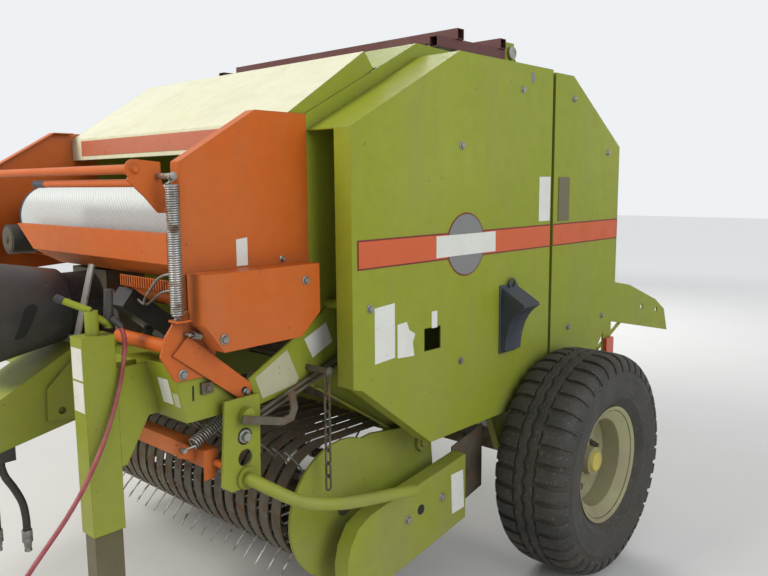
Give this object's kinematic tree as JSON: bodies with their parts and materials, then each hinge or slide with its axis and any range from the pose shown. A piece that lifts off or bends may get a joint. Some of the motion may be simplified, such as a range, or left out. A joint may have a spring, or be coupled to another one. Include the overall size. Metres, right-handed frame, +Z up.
{
  "type": "round baler",
  "caption": "Towed round baler with side covers, a rear tailgate, a tined pickup, net wrap bay, drawbar with hitch eye and a parking jack.",
  "frame": {"origin": "on the ground, under the middle of the machine's length and width", "axes": "+X to the machine's left, +Y to the rear, towards the tailgate, +Z up"},
  "size_m": [2.22, 3.828, 2.01],
  "materials": {
    "green_paint": "worn lime green paint with dust",
    "orange_paint": "orange paint",
    "cream_paint": "pale cream paint",
    "maroon_paint": "dark red primer paint",
    "bare_steel": "dull steel",
    "dirty_steel": "dusty, oily steel",
    "tyre_rubber": "dusty tyre rubber",
    "rim_paint": "dirty olive cream paint",
    "hose_rubber": "black hose rubber",
    "black_plastic": "black plastic",
    "red_plastic": "red and orange lens",
    "red_cable": "red cable sheath",
    "net_wrap": "white net"
  },
  "bodies": {
    "root": {"chassis_frame": "green_paint", "drawbar": "green_paint", "jack_post": "green_paint", "jack_crank": "green_paint", "wall_left": "green_paint", "wall_right": "green_paint", "cover_left": "green_paint", "cover_right": "green_paint", "roof_sheet": "green_paint", "diagonal_plates": "green_paint", "bracket_plates": "green_paint", "guard_tubes": "green_paint", "net_sides": "orange_paint", "net_trough": "orange_paint", "net_bars": "orange_paint", "net_levers": "orange_paint", "guard_box": "orange_paint", "crop_bar": "orange_paint", "drive_tube": "orange_paint", "hood": "cream_paint", "top_frame": "maroon_paint", "hinge_shaft": "bare_steel", "net_springs": "bare_steel", "pickup_springs": "bare_steel", "hose_rest": "bare_steel", "hose_couplers": "bare_steel", "axle_beam": "dirty_steel", "hitch_eye": "dirty_steel", "front_rollers": "dirty_steel", "lift_hooks": "dirty_steel", "lift_chains": "dirty_steel", "side_guards": "dirty_steel", "gearbox": "dirty_steel", "hose_a": "hose_rubber", "hose_b": "hose_rubber", "brake_disc": "black_plastic", "chock": "black_plastic", "pto_cup": "black_plastic", "pto_guard": "black_plastic", "control_box": "black_plastic", "hose_clamp": "black_plastic", "red_plug": "black_plastic", "red_cable": "red_cable", "red_coil": "red_cable"},
    "wheel_left": {"tyre_left": "tyre_rubber", "rim_left": "rim_paint"},
    "wheel_right": {"tyre_right": "tyre_rubber", "rim_right": "rim_paint"},
    "tailgate": {"tail_shell": "green_paint", "tail_covers": "green_paint", "rear_rollers": "dirty_steel", "light_arms": "green_paint", "tail_lamps": "red_plastic"},
    "pickup": {"pickup_frame": "green_paint", "stripper_bands": "dirty_steel", "pickup_shields": "green_paint"},
    "reel": {"tine_reel": "bare_steel"},
    "net_supply": {"net_roll": "net_wrap"},
    "jack": {"jack_leg": "green_paint"}
  },
  "joints": [
    {"name": "wheel_left_spin", "type": "hinge", "parent": "root", "child": "wheel_left", "pos_m": [0.965, 0.706, 0.42], "axis": [1, 0, 0], "continuous": true},
    {"name": "wheel_right_spin", "type": "hinge", "parent": "root", "child": "wheel_right", "pos_m": [-0.965, 0.706, 0.42], "axis": [1, 0, 0], "continuous": true},
    {"name": "tailgate_lift", "type": "hinge", "parent": "root", "child": "tailgate", "pos_m": [0, 0.679, 1.965], "axis": [1, 0, 0], "range_deg": [0, 75]},
    {"name": "pickup_lift", "type": "hinge", "parent": "root", "child": "pickup", "pos_m": [0, 0.096, 0.58], "axis": [-1, 0, 0], "range_deg": [0, 12]},
    {"name": "reel_spin", "type": "hinge", "parent": "pickup", "child": "reel", "pos_m": [0, -0.284, 0.462], "axis": [1, 0, 0], "continuous": true},
    {"name": "net_roll_spin", "type": "hinge", "parent": "root", "child": "net_supply", "pos_m": [0, -0.666, 1.366], "axis": [1, 0, 0], "continuous": true},
    {"name": "jack_slide", "type": "slide", "parent": "root", "child": "jack", "axis": [0, 0, 1], "range_m": [0, 0.35]}
  ]
}
